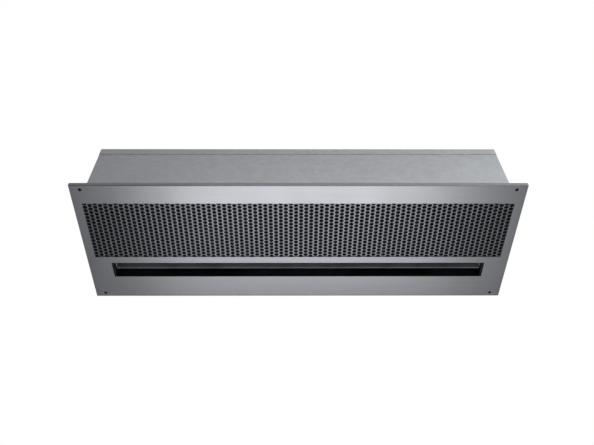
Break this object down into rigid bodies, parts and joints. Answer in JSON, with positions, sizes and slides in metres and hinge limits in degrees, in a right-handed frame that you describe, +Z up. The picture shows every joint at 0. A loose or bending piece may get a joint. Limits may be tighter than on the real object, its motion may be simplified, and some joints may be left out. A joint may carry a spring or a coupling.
{
  "type": "recessed air curtain",
  "caption": "Recessed ceiling air curtain: a galvanised fan casing over a stainless panel with a perforated intake, a long discharge slot and a tilting vane.",
  "frame": {"origin": "middle of the panel's lower face, which lies flush under the ceiling in use", "axes": "+X along the length, +Y from the intake side to the discharge slot side, +Z up into the ceiling"},
  "size_m": [1.056, 0.356, 0.2373],
  "materials": {
    "stainless_panel": "satin",
    "perforated_stainless": "satin",
    "blackened_steel": "satin",
    "galvanised_casing": "dull zinc with a fine spangle",
    "galvanised_wheel": "dull zinc",
    "zinc_plated_steel": "bright zinc",
    "black_paint": "satin",
    "grey_aluminium": "anodised satin",
    "filter_mesh": "matt",
    "motor_black": "satin",
    "stator_steel": "satin",
    "nylon": "satin",
    "circuit_board": "satin",
    "capacitor_white": "satin",
    "gland_grey": "matt"
  },
  "bodies": {
    "unit": {"front_panel": "stainless_panel", "intake_grille": "perforated_stainless", "air_filter": "filter_mesh", "panel_screw_front_left": "blackened_steel", "panel_screw_front_right": "blackened_steel", "panel_screw_rear_left": "blackened_steel", "panel_screw_rear_right": "blackened_steel", "grille_retainer_front": "zinc_plated_steel", "grille_retainer_rear": "zinc_plated_steel", "weld_nut_front_left": "zinc_plated_steel", "weld_nut_front_right": "zinc_plated_steel", "weld_nut_rear_left": "zinc_plated_steel", "weld_nut_rear_right": "zinc_plated_steel", "hanging_nut_front_left": "zinc_plated_steel", "hanging_nut_front_right": "zinc_plated_steel", "hanging_nut_rear_left": "zinc_plated_steel", "hanging_nut_rear_right": "zinc_plated_steel", "hanging_rail_left": "zinc_plated_steel", "hanging_rail_right": "zinc_plated_steel", "motor_bracket_left": "zinc_plated_steel", "motor_bracket_right": "zinc_plated_steel", "casing_front": "galvanised_casing", "casing_rear": "galvanised_casing", "top_cover": "galvanised_casing", "end_plate_left": "galvanised_casing", "end_plate_right": "galvanised_casing", "plenum_deck": "galvanised_casing", "control_box": "galvanised_casing", "control_box_lid": "galvanised_casing", "scroll_wrap_left": "galvanised_casing", "scroll_wrap_right": "galvanised_casing", "scroll_side_left_outer": "galvanised_casing", "scroll_side_left_inner": "galvanised_casing", "scroll_side_right_outer": "galvanised_casing", "scroll_side_right_inner": "galvanised_casing", "nozzle_rear_plate": "black_paint", "plenum_end_left": "black_paint", "plenum_end_right": "black_paint", "vane_bush_left": "nylon", "vane_bush_right": "nylon", "terminal_block": "nylon", "motor_stator_left": "stator_steel", "motor_stator_right": "stator_steel", "control_board": "circuit_board", "motor_capacitor_left": "capacitor_white", "motor_capacitor_right": "capacitor_white", "cable_gland": "gland_grey", "gland_locknut": "gland_grey"},
    "fan_left": {"fan_wheel_left": "galvanised_wheel", "motor_rotor_left": "motor_black"},
    "fan_right": {"fan_wheel_right": "galvanised_wheel", "motor_rotor_right": "motor_black"},
    "vane": {"discharge_vane": "grey_aluminium", "vane_pin_left": "zinc_plated_steel", "vane_pin_right": "zinc_plated_steel"}
  },
  "joints": [
    {"name": "left_fan_spin", "type": "hinge", "parent": "unit", "child": "fan_left", "pos_m": [-0.25, -0.00557, 0.11101], "axis": [-1, 0, 0], "continuous": true},
    {"name": "right_fan_spin", "type": "hinge", "parent": "unit", "child": "fan_right", "pos_m": [0.25, -0.00557, 0.11101], "axis": [-1, 0, 0], "continuous": true},
    {"name": "vane_tilt", "type": "hinge", "parent": "unit", "child": "vane", "pos_m": [0, 0.08375, 0.0245], "axis": [1, 0, 0], "range_deg": [-15, 15]}
  ]
}
